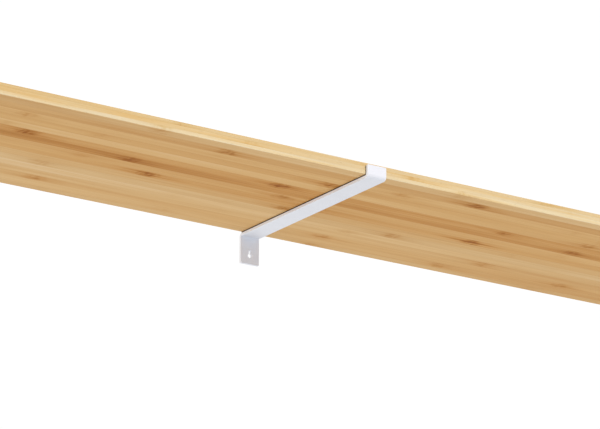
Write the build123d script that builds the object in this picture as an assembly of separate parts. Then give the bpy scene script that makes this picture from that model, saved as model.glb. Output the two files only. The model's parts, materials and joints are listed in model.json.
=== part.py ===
from build123d import *
import os

# Wall shelf: a three-layer bamboo board lying in three bent-strip steel brackets.
#
# Frame: X runs along the shelf, +Y points into the wall, +Z is up.
# Origin: the centre of the middle bracket's keyhole head hole, in the wall plane (y = 0).
# All lengths in millimetres.

# ---------------------------------------------------------------- board
board_length = 1800.0        # along X
board_depth = 300.0          # along Y
board_thickness = 16.0       # along Z
layer_count = 3              # glued layers of flat bamboo strips
edge_round = 1.0             # eased outer edges of the board
back_gap = 4.7               # wall plane to the board's back edge

# ---------------------------------------------------------------- brackets
bracket_pitch = 750.0        # centre to centre along the shelf
strip_width = 30.0           # flat steel strip, 30 x 4
strip_thickness = 4.0
bend_inside_radius = 1.5
tab_drop = 44.3              # board underside down to the wall tab's lower end
lip_below_top = 3.3          # lip's upper end below the board's top face
corner_round = 1.5           # the strip's four blank corners

# keyhole in the wall tab, slot upwards
keyhole_up = 12.3            # head hole centre above the tab's lower end
head_hole_diameter = 6.5
slot_width = 3.6
slot_rise = 6.6              # head hole centre up to the slot's end centre

# ---------------------------------------------------------------- liners
liner_thickness = 1.3        # anti-slip liner between strip and board
liner_width = 30.0
liner_below_lip = 0.8        # liner's upper end below the lip's upper end

# ---------------------------------------------------------------- levels derived from the above
board_under_z = tab_drop - keyhole_up
board_top_z = board_under_z + board_thickness
board_back_y = -back_gap
board_front_y = -(back_gap + board_depth)
arm_top_z = board_under_z - liner_thickness
arm_under_z = arm_top_z - strip_thickness
tab_end_z = -keyhole_up
lip_end_z = board_top_z - lip_below_top
lip_in_y = board_front_y - liner_thickness
lip_out_y = lip_in_y - strip_thickness
r_in = bend_inside_radius
r_out = bend_inside_radius + strip_thickness


def arc_mid(cy, cz, r, sy, sz):
    """Middle point of a quarter arc about (cy, cz), in the quadrant (sy, sz)."""
    k = r * 0.5 ** 0.5
    return (cy + sy * k, cz + sz * k)


def strip_profile():
    """Side outline of the bent strip, in the YZ plane."""
    tb_y, tb_z = -r_out, arm_top_z - r_out            # centre of the bend at the wall
    lb_y, lb_z = lip_in_y + r_in, arm_top_z + r_in    # centre of the bend at the lip
    with BuildSketch(Plane.YZ) as sk:
        with BuildLine():
            Line((0, tab_end_z), (0, tb_z))
            ThreePointArc((0, tb_z), arc_mid(tb_y, tb_z, r_out, 1, 1), (tb_y, arm_top_z))
            Line((tb_y, arm_top_z), (lb_y, arm_top_z))
            ThreePointArc((lb_y, arm_top_z), arc_mid(lb_y, lb_z, r_in, -1, -1), (lip_in_y, lb_z))
            Line((lip_in_y, lb_z), (lip_in_y, lip_end_z))
            Line((lip_in_y, lip_end_z), (lip_out_y, lip_end_z))
            Line((lip_out_y, lip_end_z), (lip_out_y, lb_z))
            ThreePointArc((lip_out_y, lb_z), arc_mid(lb_y, lb_z, r_out, -1, -1), (lb_y, arm_under_z))
            Line((lb_y, arm_under_z), (tb_y, arm_under_z))
            ThreePointArc((tb_y, arm_under_z), arc_mid(tb_y, tb_z, r_in, 1, 1), (-strip_thickness, tb_z))
            Line((-strip_thickness, tb_z), (-strip_thickness, tab_end_z))
            Line((-strip_thickness, tab_end_z), (0, tab_end_z))
        make_face()
    return sk.sketch


def liner_profile():
    """Side outline of the liner: along the arm's top, round the bend and up the lip's back."""
    cy, cz = lip_in_y + r_in, arm_top_z + r_in
    r_liner = r_in - liner_thickness
    end_z = lip_end_z - liner_below_lip
    with BuildSketch(Plane.YZ) as sk:
        with BuildLine():
            Line((board_back_y, arm_top_z), (board_back_y, board_under_z))
            Line((board_back_y, board_under_z), (cy, board_under_z))
            ThreePointArc((cy, board_under_z), arc_mid(cy, cz, r_liner, -1, -1), (board_front_y, cz))
            Line((board_front_y, cz), (board_front_y, end_z))
            Line((board_front_y, end_z), (lip_in_y, end_z))
            Line((lip_in_y, end_z), (lip_in_y, cz))
            ThreePointArc((lip_in_y, cz), arc_mid(cy, cz, r_in, -1, -1), (cy, arm_top_z))
            Line((cy, arm_top_z), (board_back_y, arm_top_z))
        make_face()
    return sk.sketch


def make_bracket():
    bar = extrude(strip_profile(), amount=strip_width / 2, both=True)
    # rounded corners of the blank: the short edges along Y at the tab's lower end and the lip's upper end
    corners = [e for e in bar.edges().filter_by(Axis.Y)
               if abs(e.length - strip_thickness) < 1e-3
               and abs(abs(e.center().X) - strip_width / 2) < 1e-3]
    bar = fillet(corners, corner_round)
    # keyhole: head hole, slot, slot end
    deep = 4 * strip_thickness
    at_tab = -strip_thickness / 2
    cut = Pos(0, at_tab, 0) * Rot(90, 0, 0) * Cylinder(head_hole_diameter / 2, deep)
    cut += Pos(0, at_tab, slot_rise) * Rot(90, 0, 0) * Cylinder(slot_width / 2, deep)
    cut += Pos(0, at_tab, slot_rise / 2) * Box(slot_width, deep, slot_rise)
    return bar - cut


def make_board():
    whole = Pos(0, (board_back_y + board_front_y) / 2, (board_under_z + board_top_z) / 2) * Box(
        board_length, board_depth, board_thickness)
    return fillet(whole.edges(), edge_round)


def layer(whole, index):
    """Layer `index` of the board, counted from the underside."""
    h = board_thickness / layer_count
    z = board_under_z + (index + 0.5) * h
    slab = Pos(0, (board_back_y + board_front_y) / 2, z) * Box(board_length + 10, board_depth + 10, h)
    return whole & slab


os.makedirs("parts", exist_ok=True)

board = make_board()
for index, name in enumerate(("shelf_bottom_layer", "shelf_core_layer", "shelf_top_layer")):
    export_step(layer(board, index), f"parts/{name}.step")

bracket = make_bracket()
liner = extrude(liner_profile(), amount=liner_width / 2, both=True)
for place, x in (("left", -bracket_pitch), ("middle", 0.0), ("right", bracket_pitch)):
    export_step(Pos(x, 0, 0) * bracket, f"parts/bracket_{place}.step")
    export_step(Pos(x, 0, 0) * liner, f"parts/liner_{place}.step")
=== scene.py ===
import json
import math
import random

import bmesh
import bpy
from mathutils import Matrix, Vector
from mathutils.geometry import tessellate_polygon

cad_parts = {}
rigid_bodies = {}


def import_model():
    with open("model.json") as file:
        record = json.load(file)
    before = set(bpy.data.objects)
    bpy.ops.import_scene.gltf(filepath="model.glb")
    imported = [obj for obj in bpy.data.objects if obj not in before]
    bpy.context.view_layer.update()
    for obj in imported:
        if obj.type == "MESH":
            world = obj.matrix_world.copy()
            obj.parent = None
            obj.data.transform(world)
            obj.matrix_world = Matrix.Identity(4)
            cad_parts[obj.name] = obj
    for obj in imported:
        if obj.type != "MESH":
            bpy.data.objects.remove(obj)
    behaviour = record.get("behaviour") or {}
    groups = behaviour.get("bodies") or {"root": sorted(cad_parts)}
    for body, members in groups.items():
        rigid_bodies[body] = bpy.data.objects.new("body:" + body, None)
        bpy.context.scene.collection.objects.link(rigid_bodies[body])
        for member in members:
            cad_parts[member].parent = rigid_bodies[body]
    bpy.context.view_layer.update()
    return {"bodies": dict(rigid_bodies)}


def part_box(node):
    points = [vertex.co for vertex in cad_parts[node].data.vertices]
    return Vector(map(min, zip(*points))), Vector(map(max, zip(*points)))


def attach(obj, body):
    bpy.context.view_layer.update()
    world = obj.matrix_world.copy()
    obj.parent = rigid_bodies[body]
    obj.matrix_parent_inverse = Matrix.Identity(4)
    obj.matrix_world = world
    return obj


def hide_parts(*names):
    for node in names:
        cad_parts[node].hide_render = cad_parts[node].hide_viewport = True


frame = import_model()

BODY = sorted(frame["bodies"])[0]

# ------------------------------------------------------------------ sizes, in metres
B0, B1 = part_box("shelf_bottom_layer")
C0, C1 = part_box("shelf_core_layer")
T0, T1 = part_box("shelf_top_layer")
X_HALF = (B1.x - B0.x) / 2
Y_FRONT, Y_BACK = B0.y, B1.y
Z_UNDER, Z_TOP = B0.z, T1.z
EASED = 0.001                    # eased outer edges of the board

BR0, BR1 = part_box("bracket_middle")
STRIP_W = BR1.x - BR0.x
LI0, LI1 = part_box("liner_middle")
LINER_W = LI1.x - LI0.x
LINER_T = Z_UNDER - LI0.z
STRIP_T = LI0.y - BR0.y
R_IN = 0.0015                    # inside radius of both bends
EDGE_R = 0.00045                 # rounded edges of the coated strip
HOLE_EDGE_R = 0.0003             # and of its keyhole


# ------------------------------------------------------------------ small helpers
def link(obj):
    bpy.context.scene.collection.objects.link(obj)
    return obj


def s2l(c):
    """sRGB 0-255 triple to a linear colour."""
    out = []
    for v in c:
        v = v / 255
        out.append(v / 12.92 if v <= 0.04045 else ((v + 0.055) / 1.055) ** 2.4)
    return out


class Nodes:
    """Short-hand for building a node tree."""

    def __init__(self, tree):
        self.t = tree

    def new(self, kind, **props):
        n = self.t.nodes.new(kind)
        for k, v in props.items():
            setattr(n, k, v)
        return n

    def put(self, socket, value):
        if isinstance(value, bpy.types.NodeSocket):
            self.t.links.new(value, socket)
        elif value is not None:
            socket.default_value = value

    def math(self, op, a, b=None, c=None, clamp=False):
        n = self.new("ShaderNodeMath", operation=op, use_clamp=clamp)
        self.put(n.inputs[0], a)
        if b is not None:
            self.put(n.inputs[1], b)
        if c is not None:
            self.put(n.inputs[2], c)
        return n.outputs[0]

    def vmath(self, op, a, b=None, c=None, out=0):
        n = self.new("ShaderNodeVectorMath", operation=op)
        self.put(n.inputs[0], a)
        if b is not None:
            self.put(n.inputs[1], b)
        if c is not None:
            self.put(n.inputs[2], c)
        return n.outputs[out]

    def attr(self, name, out="Fac"):
        n = self.new("ShaderNodeAttribute", attribute_type="GEOMETRY", attribute_name=name)
        return n.outputs[out]

    def noise(self, vec, scale=1.0, detail=2.0, rough=0.5, dist=0.0, out="Fac"):
        n = self.new("ShaderNodeTexNoise", noise_dimensions="3D")
        self.put(n.inputs["Vector"], vec)
        n.inputs["Scale"].default_value = scale
        n.inputs["Detail"].default_value = detail
        n.inputs["Roughness"].default_value = rough
        n.inputs["Distortion"].default_value = dist
        return n.outputs[out]

    def map(self, v, a, b, c, d, kind="LINEAR"):
        n = self.new("ShaderNodeMapRange", interpolation_type=kind, clamp=True)
        self.put(n.inputs["Value"], v)
        for name, x in zip(("From Min", "From Max", "To Min", "To Max"), (a, b, c, d)):
            n.inputs[name].default_value = x
        return n.outputs["Result"]

    def mix(self, fac, a, b, blend="MIX"):
        n = self.new("ShaderNodeMix", data_type="RGBA", blend_type=blend)
        self.put(n.inputs[0], fac)
        self.put(n.inputs[6], a if isinstance(a, bpy.types.NodeSocket) else (*a, 1))
        self.put(n.inputs[7], b if isinstance(b, bpy.types.NodeSocket) else (*b, 1))
        return n.outputs[2]

    def ramp(self, fac, stops, interpolation="LINEAR"):
        n = self.new("ShaderNodeValToRGB")
        cr = n.color_ramp
        cr.interpolation = interpolation
        while len(cr.elements) > 1:
            cr.elements.remove(cr.elements[-1])
        cr.elements[0].position = stops[0][0]
        cr.elements[0].color = (*stops[0][1], 1)
        for p, c in stops[1:]:
            e = cr.elements.new(p)
            e.color = (*c, 1)
        self.put(n.inputs[0], fac)
        return n.outputs[0]


def new_material(name):
    m = bpy.data.materials.new(name)
    m.use_nodes = True
    m.node_tree.nodes.clear()
    n = Nodes(m.node_tree)
    out = n.new("ShaderNodeOutputMaterial")
    bsdf = n.new("ShaderNodeBsdfPrincipled")
    m.node_tree.links.new(bsdf.outputs[0], out.inputs["Surface"])
    return m, n, bsdf


# ------------------------------------------------------------------ bamboo
# A strip's tone runs from about 0, the darkest bands, to 1, the palest; canes' nodes go below 0.
TONE_LOW, TONE_HIGH = -0.6, 1.6
SEEN = [
    (-0.60, (128, 73, 28)), (-0.25, (155, 99, 43)), (0.00, (175, 124, 67)), (0.25, (190, 143, 88)),
    (0.50, (200, 160, 108)), (0.75, (208, 172, 122)), (1.00, (214, 183, 141)), (1.30, (222, 197, 161)), (1.60, (229, 208, 178)),
]
UNDER_LIGHT = (0.81, 0.82, 0.86)
ALBEDO = [((t - TONE_LOW) / (TONE_HIGH - TONE_LOW), tuple(min(v / e, 0.95) for v, e in zip(s2l(c), UNDER_LIGHT))) for t, c in SEEN]


def bamboo_material():
    m, n, bsdf = new_material("bamboo")
    pos = n.new("ShaderNodeTexCoord")
    P, N = pos.outputs["Object"], pos.outputs["Normal"]
    kd, ka, tone = n.attr("knuckle_dist"), n.attr("knuckle_amp"), n.attr("tone")
    warm, seed, across, depth = n.attr("warm"), n.attr("seed"), n.attr("across"), n.attr("depth")
    # each strip is its own piece of cane, so its grain is shifted by its own seed
    shift = n.vmath("SCALE", (13.7, 5.3, 7.9))
    n.put(shift.node.inputs["Scale"], seed)
    Ps = n.vmath("ADD", P, shift)
    normal = n.new("ShaderNodeSeparateXYZ")
    n.put(normal.inputs[0], N)
    nx, ny = n.math("ABSOLUTE", normal.outputs[0]), n.math("ABSOLUTE", normal.outputs[1])
    end = n.map(nx, 0.6, 0.9, 0, 1)
    edge = n.map(ny, 0.35, 0.9, 0, 1)

    fine = n.noise(n.vmath("MULTIPLY", Ps, (16, 1500, 1500)), 1, 2, 0.6)
    mid = n.noise(n.vmath("MULTIPLY", Ps, (5, 330, 330)), 1, 2, 0.55)
    broad = n.noise(n.vmath("MULTIPLY", Ps, (2.2, 75, 75)), 1, 1, 0.5)
    amber = n.noise(n.vmath("MULTIPLY", Ps, (7, 210, 260)), 1, 1, 0.5)
    # the cane's nodes: soft brown marks with slanted dark strokes, drawn out along the fibres
    wave = n.noise(n.vmath("MULTIPLY", Ps, (30, 130, 130)), 1, 2, 0.5)
    kdw = n.math("MULTIPLY_ADD", n.math("SUBTRACT", wave, 0.5), 0.022, kd)
    off = n.math("SUBTRACT", across, 0.5)
    off2 = n.math("MULTIPLY", off, off)

    def spot(length, width):
        """1 at the node's middle, 0 on an ellipse of this half length (m) and half width (of the strip)."""
        u = n.math("DIVIDE", kdw, length)
        d = n.math("SQRT", n.math("ADD", n.math("MULTIPLY", u, u), n.math("MULTIPLY", off2, 1 / width ** 2)))
        return n.map(d, 0.0, 1.0, 1, 0, "SMOOTHSTEP")

    skew = n.new("ShaderNodeSeparateXYZ")
    n.put(skew.inputs[0], Ps)
    sx = n.math("MULTIPLY_ADD", skew.outputs[1], 0.55, skew.outputs[0])
    skewed = n.new("ShaderNodeCombineXYZ")
    n.put(skewed.inputs[0], n.math("MULTIPLY", sx, 190))
    n.put(skewed.inputs[1], n.math("MULTIPLY", skew.outputs[1], 120))
    n.put(skewed.inputs[2], n.math("MULTIPLY", skew.outputs[2], 120))
    strokes = n.map(n.noise(skewed.outputs[0], 1, 1, 0.5), 0.40, 0.62, 0.35, 1.25)
    streak = n.map(n.noise(n.vmath("MULTIPLY", Ps, (10, 240, 240)), 1, 2, 0.6), 0.36, 0.64, 0.1, 1.3)
    patch = n.math("MULTIPLY", spot(0.023, 0.95), n.math("MULTIPLY", strokes, 0.50))
    patch = n.math("ADD", patch, n.math("MULTIPLY", n.math("MULTIPLY", spot(0.075, 0.90), streak), 0.38))
    patch = n.math("MULTIPLY", patch, ka)

    t = n.math("ADD", tone, n.math("MULTIPLY", n.math("SUBTRACT", fine, 0.5), 0.20))
    t = n.math("ADD", t, n.math("MULTIPLY", n.math("SUBTRACT", mid, 0.5), 0.58))
    t = n.math("ADD", t, n.math("MULTIPLY", n.math("SUBTRACT", broad, 0.5), 0.42))
    t = n.math("ADD", t, n.math("MULTIPLY", edge, 0.26))
    t = n.math("SUBTRACT", t, patch)
    col = n.ramp(n.map(t, TONE_LOW, TONE_HIGH, 0, 1), ALBEDO)
    # the strips' sawn sides are paler than their flat faces
    col = n.mix(edge, col, n.mix(1.0, col, (0.93, 1.0, 1.0), "MULTIPLY"))
    # warmer or greyer cane, and amber streaks on the sawn sides
    warm = n.math("MULTIPLY_ADD", n.math("MULTIPLY", n.math("SUBTRACT", amber, 0.5), edge), 3.2, warm)
    col = n.mix(n.map(warm, 0, 1, 0, 1), col, n.mix(1.0, col, (1.0, 0.90, 0.72), "MULTIPLY"))
    col = n.mix(n.map(warm, -1, 0, 1, 0), col, n.mix(1.0, col, (0.98, 1.03, 1.14), "MULTIPLY"))
    # fine dark vessel marks, a few millimetres long
    fleck = n.noise(n.vmath("MULTIPLY", Ps, (150, 1300, 1300)), 1, 0, 0.5)
    fleck = n.map(fleck, 0.76, 0.82, 0, 1)
    col = n.mix(n.math("MULTIPLY", fleck, 0.24), col, (0.34, 0.18, 0.075))
    # hairline glue joints between strips, and between layers on the sawn sides
    joint = n.map(n.math("ABSOLUTE", n.math("SUBTRACT", across, 0.5)), 0.487, 0.4985, 0, 1)
    ply = n.map(n.math("ABSOLUTE", n.math("SUBTRACT", depth, 0.5)), 0.465, 0.495, 0, 1)
    side = n.math("MAXIMUM", edge, end)
    lines = n.math("MAXIMUM", n.math("MULTIPLY", joint, 0.16), n.math("MULTIPLY", n.math("MULTIPLY", ply, side), 0.22))
    col = n.mix(lines, col, n.mix(1.0, col, (0.45, 0.36, 0.28), "MULTIPLY"))
    # end grain: the cane's vessel bundles as dark dots, closer together towards the cane's outside
    vor = n.new("ShaderNodeTexVoronoi", feature="F1", voronoi_dimensions="3D")
    n.put(vor.inputs["Vector"], n.vmath("MULTIPLY", Ps, (0, 1300, 1300)))
    dots = n.map(vor.outputs["Distance"], 0.18, 0.42, 1, 0)
    dens = n.map(n.math("ADD", depth, n.math("MULTIPLY", n.math("SUBTRACT", seed, 0.5), 0.3)), 0.0, 1.0, 0.35, 1.0)
    endcol = n.mix(n.math("MULTIPLY", dots, dens), n.mix(0.35, col, (0.62, 0.42, 0.20)), (0.23, 0.115, 0.045))
    endcol = n.mix(lines, endcol, (0.20, 0.10, 0.04))
    col = n.mix(end, col, endcol)
    n.put(bsdf.inputs["Base Color"], col)
    rough = n.map(n.math("ADD", n.math("MULTIPLY", fine, 0.5), n.math("MULTIPLY", mid, 0.5)), 0.3, 0.7, 0.52, 0.64)
    n.put(bsdf.inputs["Roughness"], n.math("ADD", rough, n.math("MULTIPLY", end, 0.15)))
    bsdf.inputs["Specular IOR Level"].default_value = 0.05
    bump = n.new("ShaderNodeBump")
    bump.inputs["Strength"].default_value = 0.35
    bump.inputs["Distance"].default_value = 0.00012
    h = n.math("ADD", n.math("MULTIPLY", fine, 0.7), n.math("MULTIPLY", mid, 0.3))
    h = n.math("SUBTRACT", h, n.math("MULTIPLY", joint, 0.8))
    h = n.math("SUBTRACT", h, n.math("MULTIPLY", n.math("MULTIPLY", dots, end), 0.6))
    n.put(bump.inputs["Height"], h)
    n.put(bsdf.inputs["Normal"], bump.outputs[0])
    return m


def coat_material():
    m, n, bsdf = new_material("white_powder_coat")
    P = n.new("ShaderNodeTexCoord").outputs["Object"]
    peel = n.noise(P, 850, 2, 0.5)
    cloud = n.noise(P, 38, 3, 0.55)
    grit = n.noise(P, 4200, 1, 0.5)
    col = n.mix(n.map(cloud, 0.35, 0.65, 0, 1), (0.850, 0.850, 0.880), (0.867, 0.867, 0.897))
    col = n.mix(n.math("MULTIPLY", n.map(grit, 0.70, 0.78, 0, 1), 0.12), col, (0.70, 0.70, 0.72))
    n.put(bsdf.inputs["Base Color"], col)
    n.put(bsdf.inputs["Roughness"], n.map(n.math("ADD", n.math("MULTIPLY", peel, 0.6), n.math("MULTIPLY", cloud, 0.4)), 0.3, 0.7, 0.44, 0.54))
    bsdf.inputs["Specular IOR Level"].default_value = 0.5
    bump = n.new("ShaderNodeBump")
    bump.inputs["Strength"].default_value = 0.22
    bump.inputs["Distance"].default_value = 0.00010
    n.put(bump.inputs["Height"], n.math("ADD", peel, n.math("MULTIPLY", grit, 0.25)))
    n.put(bsdf.inputs["Normal"], bump.outputs[0])
    return m


def liner_and_gap_shade_material():
    m, n, bsdf = new_material("liner_rubber")
    P = n.new("ShaderNodeTexCoord").outputs["Object"]
    cell = n.noise(P, 2600, 2, 0.6)
    cloud = n.noise(P, 120, 2, 0.5)
    # near-black brown rubber grip strip; this darkness is also painted gap shade, standing in for the shade in the
    # narrow gap between the strip and the board
    col = n.mix(n.map(cell, 0.3, 0.7, 0, 1), (0.040, 0.022, 0.012), (0.066, 0.038, 0.022))
    col = n.mix(n.math("MULTIPLY", cloud, 0.3), col, (0.072, 0.044, 0.028))
    n.put(bsdf.inputs["Base Color"], col)
    n.put(bsdf.inputs["Roughness"], n.map(cell, 0.3, 0.7, 0.78, 0.94))
    bsdf.inputs["Specular IOR Level"].default_value = 0.2
    bump = n.new("ShaderNodeBump")
    bump.inputs["Strength"].default_value = 0.4
    bump.inputs["Distance"].default_value = 0.00008
    n.put(bump.inputs["Height"], cell)
    n.put(bsdf.inputs["Normal"], bump.outputs[0])
    return m


BAMBOO, COAT, RUBBER_AND_GAP_SHADE = bamboo_material(), coat_material(), liner_and_gap_shade_material()

# ------------------------------------------------------------------ the board's layers
PITCH = 0.01905
# bottom layer, from the front: (tone at left end of the middle stretch, tone at its centre, tone at its right end, warmth)
UNDER_TONES = [
    (0.52, 0.78, 0.74, -0.3), (0.46, 0.45, 0.28, 0.2), (0.68, 0.65, 0.61, 0.4), (0.54, 0.44, 0.72, 0.5),
    (0.79, 0.78, 0.44, 0.4), (0.39, 0.32, 0.34, 0.6), (0.08, 0.22, 0.26, 0.5), (0.43, 0.46, 0.62, 0.4),
    (0.54, 0.30, 0.51, 0.5), (0.61, 0.51, 0.56, 0.0), (0.76, 0.59, 0.68, -0.5), (0.88, 0.77, 0.52, -0.2),
    (0.61, 0.67, 0.39, -0.1), (0.57, 0.61, 0.47, 0.1), (0.79, 0.55, 0.34, 0.0), (0.60, 0.56, 0.50, -0.4),
]
# its canes' nodes in the middle stretch: strip -> [(x in mm, strength)]
UNDER_NODES = {
    0: [(-330, 0.45), (145, 0.45)],
    1: [(-212, 0.75), (188, 0.95)],
    2: [(-502, 0.5), (-215, 0.10), (78, 0.55), (372, 0.2)],
    3: [(-30, 0.8), (440, 0.3)],
    4: [(-508, 0.45), (-22, 0.4), (425, 0.6)],
    5: [(-468, 0.95), (-82, 0.95), (293, 0.6)],
    6: [(-303, 0.55), (60, 0.1), (428, 0.7)],
    7: [(-52, 0.6), (420, 0.2)],
    8: [(-253, 1.0), (14, 0.3), (277, 1.05)],
    9: [(-400, 0.15), (-26, 0.7), (360, 0.15)],
    10: [(-393, 0.6), (-110, 0.1), (168, 0.6), (455, 0.1)],
    11: [(-180, 0.1), (106, 0.35), (400, 0.1)],
    12: [(-90, 0.1), (352, 0.55)],
    13: [(-370, 0.6), (90, 0.6), (510, 0.5)],
    14: [(-160, 0.2), (305, 0.5)],
    15: [(-340, 0.2), (97, 0.45), (480, 0.2)],
}


def strip_edges(offset):
    """Strip boundaries across the board, from front to back."""
    ys, y = [], Y_FRONT + offset
    while y < Y_BACK - 0.004:
        if y > Y_FRONT + 0.004:
            ys.append(y)
        y += PITCH
    return [Y_FRONT] + ys + [Y_BACK]


def grow_nodes(rng, known, x_half):
    """A cane's nodes along one strip: the known ones, and more at the cane's own spacing out to the ends."""
    found = sorted(known)
    gap = rng.uniform(0.30, 0.46)
    if not found:
        found = [(rng.uniform(-gap, gap) / 2, rng.uniform(0.25, 0.85))]
    while found[0][0] - gap * 0.8 > -x_half:
        found.insert(0, (found[0][0] - gap * rng.uniform(0.85, 1.12), rng.uniform(0.25, 0.85)))
    while found[-1][0] + gap * 0.8 < x_half:
        found.append((found[-1][0] + gap * rng.uniform(0.85, 1.12), rng.uniform(0.25, 0.85)))
    return found


def layer_object(name, z0, z1, round_low, round_high, edges, tones, nodes, front, seed, key_light_counter_tint=0.0):
    rng = random.Random(seed)
    n_arc, n_end, r = 6, 6, EASED
    strips = len(edges) - 1
    canes = []
    for k in range(strips):
        known = [(x / 1000, a) for x, a in nodes.get(k, [])]
        canes.append(grow_nodes(rng, known, X_HALF))
    seeds = [rng.uniform(0, 10) for _ in range(strips)]
    while len(tones) < strips:
        base = rng.uniform(0.40, 0.74)
        # key_light_counter_tint shifts the generated strips' warmth; on the top layer it is a painted cool tint that
        # cancels the warm key lamp's light on the top face
        tones = tones + [(base + rng.uniform(-0.08, 0.08), base, base + rng.uniform(-0.08, 0.08), rng.uniform(-0.4, 0.3) + key_light_counter_tint)]

    # columns across the board: each gives (y, z low, z high) for an inset d of the end rounding
    cols = []
    rounded = round_low or round_high
    arcs = [i / n_arc * math.pi / 2 for i in range(n_arc + 1)] if rounded else [0.0]

    def side_col(sign, y_side, phi):
        def f(d):
            if not rounded:
                return y_side + sign * d, z0, z1
            rr = r - d
            y = y_side + sign * (r - rr * math.cos(phi))
            low = z0 + r - rr * math.sin(phi) if round_low else z0
            high = z1 - r + rr * math.sin(phi) if round_high else z1
            return y, low, high
        return f

    def flat_col(y):
        def f(d):
            return y, (z0 + d if round_low else z0), (z1 - d if round_high else z1)
        return f

    for phi in arcs:
        cols.append(side_col(1, Y_FRONT, phi))
    for y in edges[1:-1]:
        cols.append(flat_col(y))
    for phi in reversed(arcs):
        cols.append(side_col(-1, Y_BACK, phi))

    # stations along the board
    xs = {-(X_HALF - r), X_HALF - r}
    for cane in canes:
        for i, (x, _) in enumerate(cane):
            for v in (x, x if i == 0 else (x + cane[i - 1][0]) / 2):
                if abs(v) < X_HALF - r - 0.002:
                    xs.add(round(v, 4))
    for v in (-0.5, 0.0, 0.5):
        xs.add(v)
    inner = sorted(xs)
    thin = [inner[0]]
    for v in inner[1:]:
        if v - thin[-1] > 0.0005:
            thin.append(v)
    thin[-1] = inner[-1]
    stations = [(x, 0.0) for x in thin]
    for i in range(1, n_end + 1):
        a = i / n_end * math.pi / 2
        d = r * (1 - math.cos(a))
        stations.append((X_HALF - r + r * math.sin(a), d))
        stations.insert(0, (-(X_HALF - r + r * math.sin(a)), d))

    bm = bmesh.new()
    grid = []
    for x, d in stations:
        grid.append([(bm.verts.new((x, y, lo)), bm.verts.new((x, y, hi))) for y, lo, hi in (c(d) for c in cols)])
    kinds = bm.faces.layers.int.new("strip")

    def strip_at(y):
        for k in range(strips):
            if y < edges[k + 1] - 1e-6:
                return k
        return strips - 1

    def face(vs):
        f = bm.faces.new(vs)
        f[kinds] = strip_at(sum(v.co.y for v in vs) / len(vs))
        f.smooth = True
        return f

    for i in range(len(grid) - 1):
        a, b = grid[i], grid[i + 1]
        for j in range(len(cols) - 1):
            face((a[j][0], a[j + 1][0], b[j + 1][0], b[j][0]))
            face((a[j][1], b[j][1], b[j + 1][1], a[j + 1][1]))
        face((a[0][0], b[0][0], b[0][1], a[0][1]))
        face((a[-1][0], a[-1][1], b[-1][1], b[-1][0]))
    for j in range(len(cols) - 1):
        a, b = grid[0], grid[-1]
        face((a[j][0], a[j][1], a[j + 1][1], a[j + 1][0]))
        face((b[j][0], b[j + 1][0], b[j + 1][1], b[j][1]))
    bmesh.ops.remove_doubles(bm, verts=bm.verts, dist=1e-6)
    bmesh.ops.recalc_face_normals(bm, faces=bm.faces)

    layers = {a: bm.loops.layers.float.new(a) for a in ("knuckle_dist", "knuckle_amp", "tone", "warm", "seed", "across", "depth")}
    for f in bm.faces:
        k = f[kinds]
        xm = sum(v.co.x for v in f.verts) / len(f.verts)
        kx, ka = min(canes[k], key=lambda q: abs(q[0] - xm))
        tl, tc, tr, warm = front if f.normal.y < -0.7 else tones[k]
        for loop in f.loops:
            c = loop.vert.co
            u = max(-1.0, min(1.0, c.x / 0.5))
            tone = tc + (tc - tl) * u if u < 0 else tc + (tr - tc) * u
            loop[layers["knuckle_dist"]] = c.x - kx
            loop[layers["knuckle_amp"]] = ka
            loop[layers["tone"]] = tone
            loop[layers["warm"]] = warm
            loop[layers["seed"]] = seeds[k]
            across = (c.y - edges[k]) / (edges[k + 1] - edges[k])
            if k == 0:
                across = max(across, 0.5)
            if k == strips - 1:
                across = min(across, 0.5)
            loop[layers["across"]] = across
            loop[layers["depth"]] = (c.z - z0) / (z1 - z0)
    me = bpy.data.meshes.new(name)
    bm.to_mesh(me)
    bm.free()
    obj = link(bpy.data.objects.new(name, me))
    me.materials.append(BAMBOO)
    wn = obj.modifiers.new("normals", "WEIGHTED_NORMAL")
    wn.keep_sharp = True
    wn.weight = 100
    wn.thresh = 0.01
    return obj


# the interfaces between layers stay sharp
def sharpen(obj, angle=math.radians(40)):
    bm = bmesh.new()
    bm.from_mesh(obj.data)
    for e in bm.edges:
        if len(e.link_faces) == 2 and e.calc_face_angle(0.0) > angle:
            e.smooth = False
    bm.to_mesh(obj.data)
    bm.free()


layers = [
    layer_object("bamboo_bottom_layer", B0.z, B1.z, True, False, strip_edges(0.0178), UNDER_TONES, UNDER_NODES, (0.86, 1.00, 1.00, -0.2), 11),
    layer_object("bamboo_core_layer", C0.z, C1.z, False, False, strip_edges(0.0102), [], {0: [(-195, 0.3), (62, 0.6), (330, 0.2)]}, (0.58, 0.80, 0.84, 0.2), 23),
    # the top layer's generated strips get a painted cool tint (-0.35) against the warm key lamp's light
    layer_object("bamboo_top_layer", T0.z, T1.z, False, True, strip_edges(0.0150), [], {0: [(-300, 0.7), (-20, 0.2), (292, 0.6), (600, 0.4)]}, (0.48, 0.64, 0.72, 0.1), 37, -0.35),
]
for obj, node in zip(layers, ("shelf_bottom_layer", "shelf_core_layer", "shelf_top_layer")):
    sharpen(obj)
    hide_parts(node)
    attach(obj, BODY)


# ------------------------------------------------------------------ strips bent from a flat blank
def arc_points(cx, cy, r, a0, a1, n):
    return [((cx + r * math.cos(a0 + (a1 - a0) * i / n), cy + r * math.sin(a0 + (a1 - a0) * i / n)),
             (math.cos(a0 + (a1 - a0) * i / n), math.sin(a0 + (a1 - a0) * i / n))) for i in range(n + 1)]


def blank_outline(length, width, corner, n=6):
    """Points and outward normals of a rounded rectangle, s from 0 to length."""
    w, pts = width / 2, []
    for cx, cy, a in ((length - corner, w - corner, 0), (corner, w - corner, 90), (corner, -w + corner, 180), (length - corner, -w + corner, 270)):
        pts += arc_points(cx, cy, corner, math.radians(a), math.radians(a + 90), n)
    return pts


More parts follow.
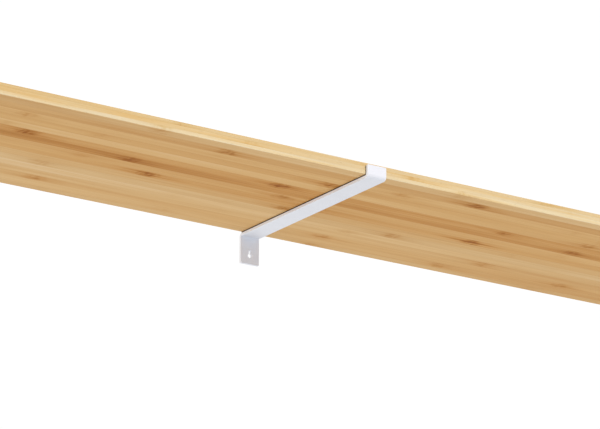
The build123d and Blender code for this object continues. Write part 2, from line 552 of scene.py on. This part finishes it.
def keyhole_outline(s0, rise, r_head, r_slot, c, n_head=32, n_slot=14, n_c=4):
    """Points of the keyhole with normals that point out of the metal; the corners where the slot leaves the head have radius c."""
    k = math.asin((r_slot + c) / (r_head + c))
    sc, xc = s0 + (r_head + c) * math.cos(k), r_slot + c
    pts = [(p, (-q[0], -q[1])) for p, q in arc_points(s0, 0, r_head, k, 2 * math.pi - k, n_head)[:-1]]
    pts += arc_points(sc, -xc, c, math.pi - k, math.pi / 2, n_c)
    pts += [(p, (-q[0], -q[1])) for p, q in arc_points(s0 + rise, 0, r_slot, -math.pi / 2, math.pi / 2, n_slot)]
    pts += arc_points(sc, xc, c, -math.pi / 2, k - math.pi, n_c)[:-1]
    return pts


def bent_strip(name, length, width, thick, corner, holes, place, cuts, edge_r, hole_r, x_mid, material):
    """A flat blank with rounded edges, cut across at the bends' stations and then bent by place(s, n)."""
    bm = bmesh.new()
    n_b = 4
    lean = bm.verts.layers.float_vector.new("lean")     # the surface's normal on the flat blank
    rims = []
    for outline, r in [(blank_outline(length, width, corner), edge_r)] + [(hole, hole_r) for hole in holes]:
        rings = []                   # profile from the upper face's rim to the lower face's rim, with each point's slope
        for i in range(n_b + 1):
            a = math.pi / 2 * (1 - i / n_b)
            rings.append((r * (1 - math.cos(a)), thick / 2 - r + r * math.sin(a), a))
        rings += [(d, -h, -a) for d, h, a in reversed(rings)]
        stack = []
        for d, h, a in rings:
            row = []
            for p, q in outline:
                v = bm.verts.new((p[0] - q[0] * d, p[1] - q[1] * d, h))
                v[lean] = (q[0] * math.cos(a), q[1] * math.cos(a), math.sin(a))
                row.append(v)
            stack.append(row)
        m = len(outline)
        for a, b in zip(stack, stack[1:]):
            for i in range(m):
                j = (i + 1) % m
                if (a[i].co - a[j].co).length > 1e-9:
                    bm.faces.new((a[i], b[i], b[j], a[j]))
        rims.append((stack[0], stack[-1]))
    for side in (0, 1):
        loops = [r[side] for r in rims]
        flat = [v for l in loops for v in l]
        for tri in tessellate_polygon([[Vector((v.co.x, v.co.y, 0)) for v in l] for l in loops]):
            bm.faces.new([flat[i] for i in tri])
    bmesh.ops.remove_doubles(bm, verts=bm.verts, dist=1e-7)
    for s in cuts:
        bmesh.ops.bisect_plane(bm, geom=bm.verts[:] + bm.edges[:] + bm.faces[:], dist=1e-7, plane_co=(s, 0, 0), plane_no=(1, 0, 0))
    bmesh.ops.dissolve_degenerate(bm, dist=1e-7, edges=bm.edges[:])
    normals, e = [], 1e-5
    for v in bm.verts:
        s, x, h = v.co
        y, z = place(s, h)
        along = Vector(place(s + e, h)) - Vector(place(s - e, h))
        out = Vector(place(s, h + e)) - Vector(place(s, h - e))
        ns, nx, nh = v[lean]
        t = along.normalized() * ns + out.normalized() * nh
        normals.append(Vector((nx, t[0], t[1])).normalized())
        v.co = (x_mid + x, y, z)
    bm.verts.layers.float_vector.remove(lean)
    bm.verts.index_update()
    for f in bm.faces:
        f.normal_update()
        if f.normal.dot(sum((normals[v.index] for v in f.verts), Vector())) < 0:
            f.normal_flip()
        f.smooth = True
    me = bpy.data.meshes.new(name)
    bm.to_mesh(me)
    bm.free()
    me.normals_split_custom_set_from_vertices(normals)
    me.materials.append(material)
    return link(bpy.data.objects.new(name, me))


# the bracket's middle surface: tab, bend, arm, bend, lip
TAB_END = BR0.z
ARM_TOP = Z_UNDER - LINER_T
LIP_IN = Y_FRONT - LINER_T
R_MID = R_IN + STRIP_T / 2
R_OUT = R_IN + STRIP_T
TAB_LEN = (ARM_TOP - R_OUT) - TAB_END
BEND_LEN = R_MID * math.pi / 2
ARM_LEN = -R_OUT - (LIP_IN + R_IN)
LIP_LEN = BR1.z - (ARM_TOP + R_IN)
S1, S2 = TAB_LEN, TAB_LEN + BEND_LEN
S3 = S2 + ARM_LEN
S4 = S3 + BEND_LEN
S_END = S4 + LIP_LEN


def place_bracket(s, h):
    if s < S1:
        return -STRIP_T / 2 + h, TAB_END + s
    if s < S2:
        a = (s - S1) / R_MID
        return -R_OUT + (R_MID + h) * math.cos(a), ARM_TOP - R_OUT + (R_MID + h) * math.sin(a)
    if s < S3:
        return -R_OUT - (s - S2), ARM_TOP - STRIP_T / 2 + h
    if s < S4:
        a = (s - S3) / R_MID
        return LIP_IN + R_IN - (R_MID - h) * math.sin(a), ARM_TOP + R_IN - (R_MID - h) * math.cos(a)
    return LIP_IN - STRIP_T / 2 + h, ARM_TOP + R_IN + (s - S4)


def stations(a, b, n):
    return [a + (b - a) * i / n for i in range(n + 1)]


BRACKET_CUTS = stations(S1, S2, 12) + stations(S3, S4, 12) + [S2 + ARM_LEN * k / 6 for k in range(1, 6)]
HEAD_R, SLOT_R, SLOT_RISE = 0.00325, 0.0018, 0.0066

# the liner's middle surface: arm, bend, lip
LR_IN, LR_MID = R_IN - LINER_T, max(R_IN - LINER_T / 2, 0.0004)
LA_LEN = LI1.y - (LIP_IN + R_IN)
LB_LEN = LR_MID * math.pi / 2
LL_LEN = LI1.z - (ARM_TOP + R_IN)
L1, L2 = LA_LEN, LA_LEN + LB_LEN


def place_liner(s, h):
    if s < L1:
        return LI1.y - s, ARM_TOP + LINER_T / 2 + h
    if s < L2:
        a = (s - L1) / LR_MID
        return LIP_IN + R_IN - (LR_MID - h) * math.sin(a), ARM_TOP + R_IN - (LR_MID - h) * math.cos(a)
    return LIP_IN + LINER_T / 2 + h, ARM_TOP + R_IN + (s - L2)


for side in ("left", "middle", "right"):
    lo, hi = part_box("bracket_" + side)
    x_mid = (lo.x + hi.x) / 2
    br = bent_strip("steel_bracket_" + side, S_END, STRIP_W, STRIP_T, 0.0015, [keyhole_outline(-TAB_END, SLOT_RISE, HEAD_R, SLOT_R, 1.25 * HOLE_EDGE_R)],
                    place_bracket, BRACKET_CUTS, EDGE_R, HOLE_EDGE_R, x_mid, COAT)
    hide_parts("bracket_" + side)
    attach(br, BODY)
    # each bracket's dark liner: a grip strip whose near-black colour also paints the shade of the gap between strip and
    # board
    li = bent_strip("rubber_liner_gap_shade_" + side, L2 + LL_LEN, LINER_W, LINER_T, 0.0008, [], place_liner,
                    stations(L1, L2, 8), 0.00018, 0, x_mid, RUBBER_AND_GAP_SHADE)
    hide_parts("liner_" + side)
    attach(li, BODY)

# ------------------------------------------------------------------ floor, light, camera
# the shelf hangs on a wall and is looked at from below too, so the floor lies far under it
FLOOR_Z = -16.5
floor_mesh = bpy.data.meshes.new("floor")
fb = bmesh.new()
bmesh.ops.create_grid(fb, x_segments=2, y_segments=2, size=95)
fb.to_mesh(floor_mesh)
fb.free()
floor = link(bpy.data.objects.new("floor", floor_mesh))
floor.location = (0, -0.15, FLOOR_Z)
fm, fn, fbsdf = new_material("pale_floor")
fc = fn.noise(fn.new("ShaderNodeTexCoord").outputs["Object"], 0.35, 3, 0.5)
fn.put(fbsdf.inputs["Base Color"], fn.mix(fn.map(fc, 0.3, 0.7, 0, 1), (0.71, 0.715, 0.725), (0.74, 0.745, 0.755)))
fbsdf.inputs["Roughness"].default_value = 0.8
floor_mesh.materials.append(fm)

world = bpy.data.worlds.new("studio")
bpy.context.scene.world = world
world.use_nodes = True
world.node_tree.nodes.clear()
wn_ = Nodes(world.node_tree)
w_out = wn_.new("ShaderNodeOutputWorld")
w_bg = wn_.new("ShaderNodeBackground")
world.node_tree.links.new(w_bg.outputs[0], w_out.inputs["Surface"])
w_dir = wn_.new("ShaderNodeSeparateXYZ")
wn_.put(w_dir.inputs[0], wn_.new("ShaderNodeTexCoord").outputs["Generated"])
# white all round, a little dimmer on the room's side
wn_.put(w_bg.inputs["Color"], wn_.ramp(wn_.map(w_dir.outputs[1], -0.5, 0.2, 0, 1, "SMOOTHSTEP"), [(0, (0.648, 0.669, 0.702)), (1, (1.02, 1.02, 1.02))]))


def area(name, pos, look, size, watts, colour=(1, 1, 1)):
    lamp = bpy.data.lights.new(name, "AREA")
    lamp.shape = "RECTANGLE"
    lamp.size, lamp.size_y = size
    lamp.energy = watts
    lamp.color = colour
    o = link(bpy.data.objects.new(name, lamp))
    o.location = pos
    o.rotation_euler = (Vector(look) - Vector(pos)).to_track_quat("-Z", "Y").to_euler()
    return o


area("key_light", (-0.4, -3.4, 0.95), (0, -0.3, 0), (3.4, 1.0), 49, (1.0, 0.865, 0.76))
area("low_fill", (-0.8, -3.6, -0.5), (0, -0.1, 0), (3.0, 1.0), 14.5, (0.28, 0.60, 1.0))
area("left_fill", (-4.5, -0.15, -0.2), (0, -0.15, 0), (1.5, 0.5), 22)
area("under_light", (0, 1.0, -1.6), (0, 1.0, 0), (4.0, 1.6), 15.5)

# camera: long lens, in front, to the left and below, looking up at the underside
F_PX, YAW, PITCH_UP = 3477.0, math.radians(33.974), math.radians(18.074)
SHIFT = Vector((-0.0715, 0.0278, 4.827))     # in the camera's own axes: right, down, forward; from the board underside's point over the origin
fwd = Vector((math.sin(YAW) * math.cos(PITCH_UP), math.cos(YAW) * math.cos(PITCH_UP), math.sin(PITCH_UP)))
right = fwd.cross(Vector((0, 0, 1))).normalized()
down = fwd.cross(right)
centre = Vector((0, 0, Z_UNDER)) - (right * SHIFT.x + down * SHIFT.y + fwd * SHIFT.z)
cam_data = bpy.data.cameras.new("camera")
cam_data.sensor_fit = "HORIZONTAL"
cam_data.sensor_width = 36.0
cam_data.lens = F_PX / 600 * 36.0
cam_data.clip_start, cam_data.clip_end = 0.05, 60
cam = link(bpy.data.objects.new("camera", cam_data))
rot = Matrix((right, -down, -fwd)).transposed()
cam.matrix_world = Matrix.Translation(centre) @ rot.to_4x4()
bpy.context.scene.camera = cam
bpy.context.scene.view_settings.view_transform = "Standard"
bpy.context.scene.view_settings.look = "None"

# ------------------------------------------------------------------ final update
bpy.context.view_layer.update()
